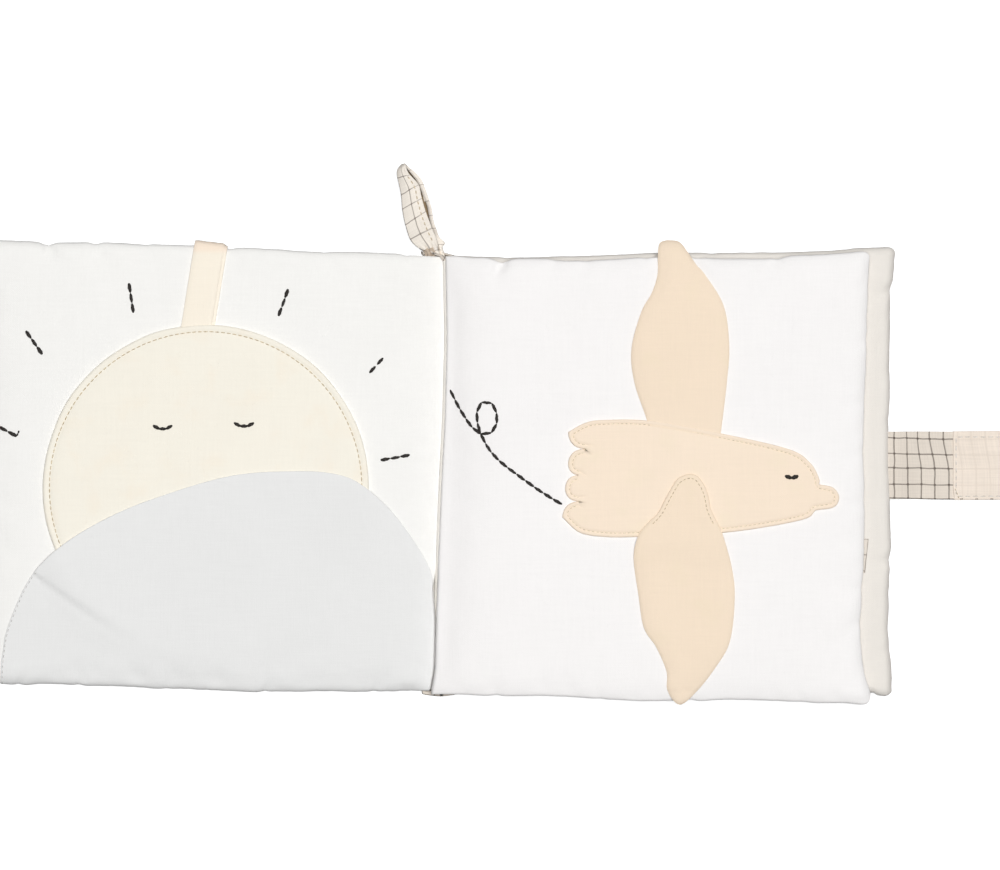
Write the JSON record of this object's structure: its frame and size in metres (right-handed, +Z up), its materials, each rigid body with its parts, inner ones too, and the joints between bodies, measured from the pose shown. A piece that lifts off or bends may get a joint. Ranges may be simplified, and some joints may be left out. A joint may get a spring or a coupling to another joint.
{
  "type": "cloth book",
  "caption": "Soft cloth book lying open flat: padded leaves on a cloth spine, a sun in a hill-shaped pocket, a bird with loose wings, a hanging loop and a closing strap.",
  "frame": {"origin": "middle of the spine cloth's underside, on the surface that the open book lies on", "axes": "+X from the spine towards the back cover's fore-edge and the strap, +Y towards the book's head, where the hanging loop is, +Z up out of the open pages"},
  "size_m": [0.5045, 0.2412, 0.0179],
  "materials": {
    "page_cloth": "white cotton muslin, matt",
    "back_cloth": "cream-grey cotton, matt",
    "grid_cloth": "beige cotton with fine dark window-pane lines, matt",
    "fastening_tape": "cream woven fastening tape, matt",
    "bird_cloth": "peach cotton, matt",
    "wing_cloth": "peach cotton, matt",
    "hill_cloth": "light grey cotton, matt",
    "sun_cloth": "pale cream cotton, matt",
    "ribbon_cloth": "pale peach ribbon, matt",
    "floss": "stranded cotton floss, slight sheen"
  },
  "bodies": {
    "back": {"spine_cloth": "grid_cloth", "back_cover": "back_cloth", "page": "page_cloth", "hanging_loop": "grid_cloth", "strap_band": "grid_cloth", "strap_tape": "fastening_tape", "grid_patch": "grid_cloth", "bird_body": "bird_cloth", "wing_upper": "wing_cloth", "wing_lower": "wing_cloth", "bird_eye": "floss", "flight_path": "floss"},
    "front": {"front_cover": "page_cloth", "hill_pocket": "hill_cloth", "sun_disc": "sun_cloth", "sun_ribbon": "ribbon_cloth", "sun_eye_left": "floss", "sun_eye_right": "floss", "ray_1": "floss", "ray_2": "floss", "ray_3": "floss", "ray_4": "floss", "ray_5": "floss", "ray_6": "floss", "cover_tape": "fastening_tape"}
  },
  "joints": [
    {"name": "front_cover_hinge", "type": "hinge", "parent": "back", "child": "front", "pos_m": [0, 0, 0.01465], "axis": [0, 1, 0], "range_deg": [0, 180]}
  ]
}
